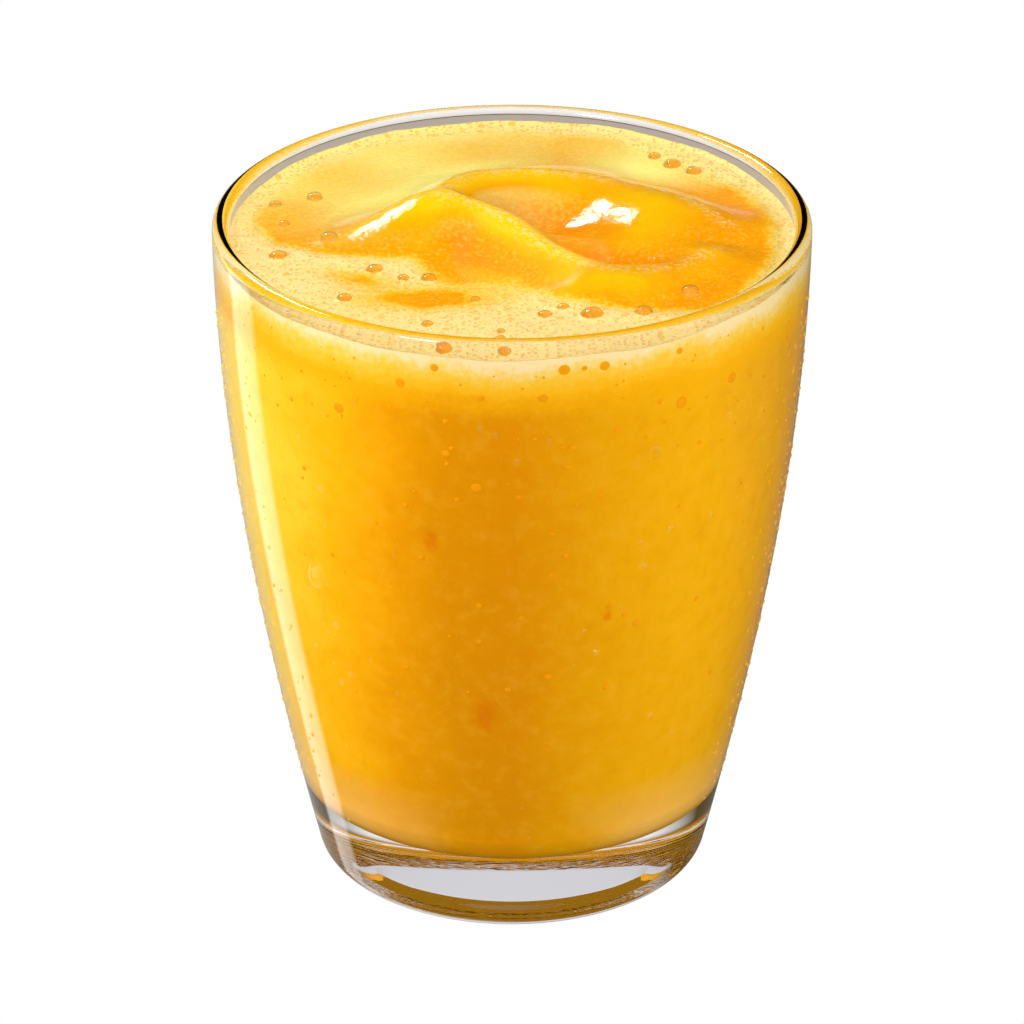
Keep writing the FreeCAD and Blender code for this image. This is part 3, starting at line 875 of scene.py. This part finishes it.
def mango_side():
    """The drink seen through the glass: wet against it, so it has no gloss of its own."""
    m = new_material("mango_against_glass")
    t = m.node_tree
    coords = add(t, "TexCoord").outputs["Object"]
    place = add(t, "SeparateXYZ", {0: coords})
    height = place.outputs["Z"]
    mottle = add(t, "TexNoise", {"Vector": coords, "Scale": 0.09 * PER_MM, "Detail": 4.0}, "Fac")
    grain = add(t, "TexNoise", {"Vector": coords, "Scale": 1.1 * PER_MM, "Detail": 3.0}, "Fac")

    # Painted light and shade: deepest orange in the middle, where it is thickest, paler toward the
    # sides and yellowest toward the lit left side.
    uneven = add(t, "MapRange", (mottle, 0.3, 0.7, -2.5 * MM, 2.5 * MM), 0)
    across = add(t, "Math", (place.outputs["X"], uneven), 0, operation="ADD")
    share = add(t, "MapRange", (across, -38.0 * MM, 38.0 * MM), 0)
    body = add(t, "ValToRGB", (share,), 0, stops=BODY_PAINTED_LIGHT_TONES)

    # Fine pulp: a soft mottling of slightly paler and deeper patches.
    fine = add(t, "TexNoise", {"Vector": coords, "Scale": 0.42 * PER_MM, "Detail": 5.0,
                               "Roughness": 0.62}, "Fac")
    for start, full, pulp in ((0.50, 0.72, PALE_PULP), (0.48, 0.28, DEEP_PULP)):
        share = add(t, "MapRange", (fine, start, full, 0.0, 0.20), 0)
        body = add(t, "Mix", {0: share, 6: body, 7: colour(pulp)}, 2, data_type="RGBA")

    # Painted light: paler low down on either side, where the clear floor throws light into the
    # drink.
    aside = add(t, "Math", (across,), 0, operation="ABSOLUTE")
    aside = add(t, "MapRange", (aside, 8.0 * MM, 19.0 * MM), 0)
    low = add(t, "MapRange", (height, 24.0 * MM, 14.5 * MM), 0)
    low = add(t, "Math", (aside, low), 0, operation="MULTIPLY")
    share = add(t, "Math", (low, 0.5), 0, operation="MULTIPLY")
    body = add(t, "Mix", {0: share, 6: body, 7: colour(LOW_PAINTED_LIGHT)}, 2, data_type="RGBA")

    ragged = add(t, "MapRange", (grain, 0.3, 0.7, -0.5 * MM, 0.5 * MM), 0)
    for turn, z, size in FLECKS:
        spot = on_wall(turn, z, False)[0]
        gap = add(t, "VectorMath", {0: coords, 1: spot}, 0, operation="SUBTRACT")
        gap = add(t, "VectorMath", {0: gap, 1: (1.0, 1.0, 0.5)}, 0, operation="MULTIPLY")
        gap = add(t, "VectorMath", {0: gap}, operation="LENGTH").outputs["Value"]
        gap = add(t, "Math", (gap, ragged), 0, operation="ADD")
        share = add(t, "MapRange", (gap, size * MM, 0.2 * size * MM, 0.0, 0.55), 0)
        body = add(t, "Mix", {0: share, 6: body, 7: colour(FLECK)}, 2, data_type="RGBA")
    # Painted shade: deeper, duller orange just above the floor.
    near_floor = add(t, "MapRange", (height, (FLOOR_THICKNESS + 1.6) * MM, FLOOR_THICKNESS * MM), 0)
    body = add(t, "Mix", {0: near_floor, 6: body, 7: colour(FLOOR_PAINTED_SHADE)}, 2, data_type="RGBA")

    # The froth's lower edge wanders up and down, and has a grain.
    wander = add(t, "MapRange", (mottle, 0.3, 0.7, -1.0 * MM, 1.0 * MM), 0)
    edge = add(t, "Math", (height, wander), 0, operation="ADD")
    wander = add(t, "MapRange", (grain, 0.3, 0.7, -0.6 * MM, 0.6 * MM), 0)
    edge = add(t, "Math", (edge, wander), 0, operation="ADD")
    share = add(t, "MapRange", (edge, 89.8 * MM, 95.4 * MM), 0)
    froth = add(t, "ValToRGB", (share,), 0, stops=SIDE_FROTH_TONES)
    share = add(t, "MapRange", (edge, 86.5 * MM, 91.0 * MM), 0)
    tone = add(t, "Mix", {0: share, 6: body, 7: froth}, 2, data_type="RGBA")
    specks = add(t, "TexVoronoi", {"Vector": coords, "Scale": 0.8 * PER_MM})
    pale = add(t, "MapRange", (specks.outputs["Distance"], 0.10, 0.04), 0)
    share = add(t, "Math", (pale, 0.35), 0, operation="MULTIPLY")
    tone = add(t, "Mix", {0: share, 6: tone, 7: colour(PALE_SPECK)}, 2, data_type="RGBA")
    bsdf = add(t, "BsdfPrincipled", {
        "Base Color": tone, "Roughness": 0.6, "Specular IOR Level": 0.0})
    add(t, "OutputMaterial", {0: bsdf.outputs[0]})
    return m


def bubble_wall():
    """Mango drink a little darker than the rest, wet against the glass, with no gloss."""
    m = new_material("mango_bubble_wall")
    t = m.node_tree
    bsdf = add(t, "BsdfPrincipled", {
        "Base Color": colour("f3a410"), "Roughness": 0.5, "Specular IOR Level": 0.0})
    add(t, "OutputMaterial", {0: bsdf.outputs[0]})
    return m


# ------------------------------------------------------------------ build
top = mango_top()
side = mango_side()
glass = make_glass(glass_material("soda_lime_glass"),
                   glass_material("stippled_glass", stipple=True))
drink = make_drink(top, side)
froth = make_froth(top, side)
bubbles = make_film_bubbles(water_material("bubble_film", tint=(1.0, 0.90, 0.50, 1.0)))
drops = make_drops(water_material("water"))
wall_bubbles = make_wall_bubbles(bubble_wall())

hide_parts("glass")
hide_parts("drink")
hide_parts("froth")
for piece, slot in (
    (glass, "clear_glass"),
    (drink, "mango_drink"),
    (froth, "mango_froth"),
    (bubbles, "mango_froth"),
    (drops, "clear_glass"),
    (wall_bubbles, "mango_drink"),
):
    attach(piece, "root")


# ------------------------------------------------------------------ surroundings
world = bpy.data.worlds.new("studio")
bpy.context.scene.world = world
world.use_nodes = True
wt = world.node_tree
wt.nodes.clear()
path = add(wt, "LightPath")
direction = add(wt, "TexCoord").outputs["Generated"]
toward = add(wt, "SeparateXYZ", {0: direction})
flat = add(wt, "CombineXYZ", {0: toward.outputs["X"], 1: toward.outputs["Y"]})
flat = add(wt, "VectorMath", {0: flat.outputs[0]}, operation="NORMALIZE").outputs[0]
rise = toward.outputs["Z"]


def turned_to(degrees):
    """1 straight toward the given turn left of the backdrop, falling off to both sides."""
    turn = math.radians(degrees)
    axis = (-math.sin(turn), math.cos(turn), 0.0)
    return add(wt, "VectorMath", {0: flat, 1: axis}, operation="DOT_PRODUCT").outputs["Value"]


def patch(degrees, height, reach, level):
    """A soft-edged bright patch at a turn left of the backdrop and a height in degrees."""
    turn = math.radians(degrees)
    up = math.radians(height)
    axis = (-math.sin(turn) * math.cos(up), math.cos(turn) * math.cos(up), math.sin(up))
    near = add(wt, "VectorMath", {0: direction, 1: axis}, operation="DOT_PRODUCT").outputs["Value"]
    far = math.cos(math.radians(reach * 1.2))
    full = math.cos(math.radians(reach * 0.8))
    return add(wt, "MapRange", (near, far, full, 0.0, level), 0)


# What glass and wet surfaces mirror: a tall softbox low on the left, two faint upright bands
# beside it, and patches high up. Turn, height and reach of a patch in degrees, then its strength.
SOFTBOX_TURN = 50.5
PATCHES = ((29, 40, 5.5, 30.0), (36, 49, 4.0, 24.0), (140, 42, 7.0, 22.0))
LEAST_MIRRORED = 0.015
facing = turned_to(0)
mirror = add(wt, "MapRange", (turned_to(SOFTBOX_TURN), 0.982, 0.993, 0.0, 1.8), 0)
for line, start, full, level in ((turned_to(25), 0.86, 0.97, 0.3), (facing, 0.7, 0.97, 0.12)):
    band = add(wt, "MapRange", (line, start, full, 0.0, level), 0)
    mirror = add(wt, "Math", (mirror, band), 0, operation="ADD")
below = add(wt, "MapRange", (rise, 0.05, -0.15), 0)
mirror = add(wt, "Math", (mirror, below), 0, operation="MULTIPLY")
mirror = add(wt, "Math", (mirror, LEAST_MIRRORED), 0, operation="ADD")
for settings in PATCHES:
    mirror = add(wt, "Math", (mirror, patch(*settings)), 0, operation="ADD")

# What shows through the glass: pale all round from below to above, with a dark line below the
# horizon, and dark olive where the view slants away to the sides.
THROUGH_TONES = ((0.10, "fbfaf8"), (0.222, "e4dfda"), (0.232, "4a3a30"), (0.244, "4a3a30"),
                 (0.256, "aba099"), (0.36, "b9b0a9"), (0.45, "f4f1ee"), (0.54, "fbfaf9"),
                 (0.66, "cfd0d8"), (0.90, "e8e8ec"))
SLANTED_TONE = "54431f"
upward = add(wt, "MapRange", (rise, -1.0, 1.0), 0)
shade = add(wt, "ValToRGB", (upward,), 0, stops=THROUGH_TONES)
parts = []
for line, start, full in ((facing, 0.62, 0.86), (rise, 0.6, 0.85), (turned_to(90), 0.93, 0.98)):
    size = add(wt, "Math", (line,), 0, operation="ABSOLUTE")
    parts.append(add(wt, "MapRange", (size, start, full), 0))
lit = add(wt, "Math", parts[:2], 0, operation="MAXIMUM")
lit = add(wt, "Math", (lit, parts[2]), 0, operation="MAXIMUM")
through = add(wt, "Mix", {0: lit, 6: colour(SLANTED_TONE), 7: shade}, 2, data_type="RGBA")

# Only mirrored and refracted rays see these. Matt surfaces are lit by an even grey, and straight
# behind the object lies plain white.
room = add(wt, "Mix", {0: path.outputs["Is Transmission Ray"], 6: mirror, 7: through}, 2,
           data_type="RGBA")
mirrored = add(wt, "Math", (path.outputs["Is Glossy Ray"], path.outputs["Is Transmission Ray"]), 0,
               operation="MAXIMUM")
straight = add(wt, "Math", (path.outputs["Diffuse Depth"], 0.5), 0, operation="LESS_THAN")
mirrored = add(wt, "Math", (mirrored, straight), 0, operation="MULTIPLY")
ambient = add(wt, "MapRange", (rise, -0.4, 0.5, 0.42, 0.70), 0)
level = add(wt, "Mix", {0: mirrored, 6: ambient, 7: room}, 2, data_type="RGBA")
level = add(wt, "Mix", {0: path.outputs["Is Camera Ray"], 6: level, 7: WHITE}, 2, data_type="RGBA")
back = add(wt, "Background", {0: level, 1: 1.0})
add(wt, "OutputWorld", {0: back.outputs[0]})


# ------------------------------------------------------------------ lamps and camera
def area_light(name, place, target, width, height, power):
    """A soft rectangular lamp that nothing mirrors or shows."""
    data = bpy.data.lights.new(name, "AREA")
    data.shape = "RECTANGLE"
    data.size = width
    data.size_y = height
    data.energy = power
    obj = bpy.data.objects.new(name, data)
    bpy.context.scene.collection.objects.link(obj)
    obj.location = place
    obj.rotation_euler = (Vector(target) - Vector(place)).to_track_quat("-Z", "Y").to_euler()
    obj.visible_glossy = False
    obj.visible_transmission = False


GLASS_CENTRE = (0, 0, 0.05)
DRINK_SURFACE = (0, 0, 0.095)
area_light("low_left", (-0.47, 0.05, -0.04), GLASS_CENTRE, 0.16, 0.30, 1.05)
area_light("low_right", (0.45, 0.0, -0.03), GLASS_CENTRE, 0.16, 0.30, 0.9)
area_light("front", (-0.06, -0.60, 0.20), GLASS_CENTRE, 0.30, 0.24, 2.0)
area_light("back", (0.06, 0.60, -0.03), GLASS_CENTRE, 0.30, 0.24, 1.6)
area_light("over_left", (-0.20, -0.06, 0.52), DRINK_SURFACE, 0.18, 0.18, 1.05)

CAMERA_DISTANCE = 0.924
CAMERA_RISE = math.radians(26.15)
AIM = 0.0531               # height the camera looks at
SENSOR = 36.0
LENS = 227.2
cam_data = bpy.data.cameras.new("camera")
cam_data.sensor_width = SENSOR
cam_data.lens = LENS
camera = bpy.data.objects.new("camera", cam_data)
bpy.context.scene.collection.objects.link(camera)
camera.location = (0, -CAMERA_DISTANCE * math.cos(CAMERA_RISE),
                   AIM + CAMERA_DISTANCE * math.sin(CAMERA_RISE))
camera.rotation_euler = (math.pi / 2 - CAMERA_RISE, 0, 0)
bpy.context.scene.camera = camera
bpy.context.scene.view_settings.view_transform = "Standard"
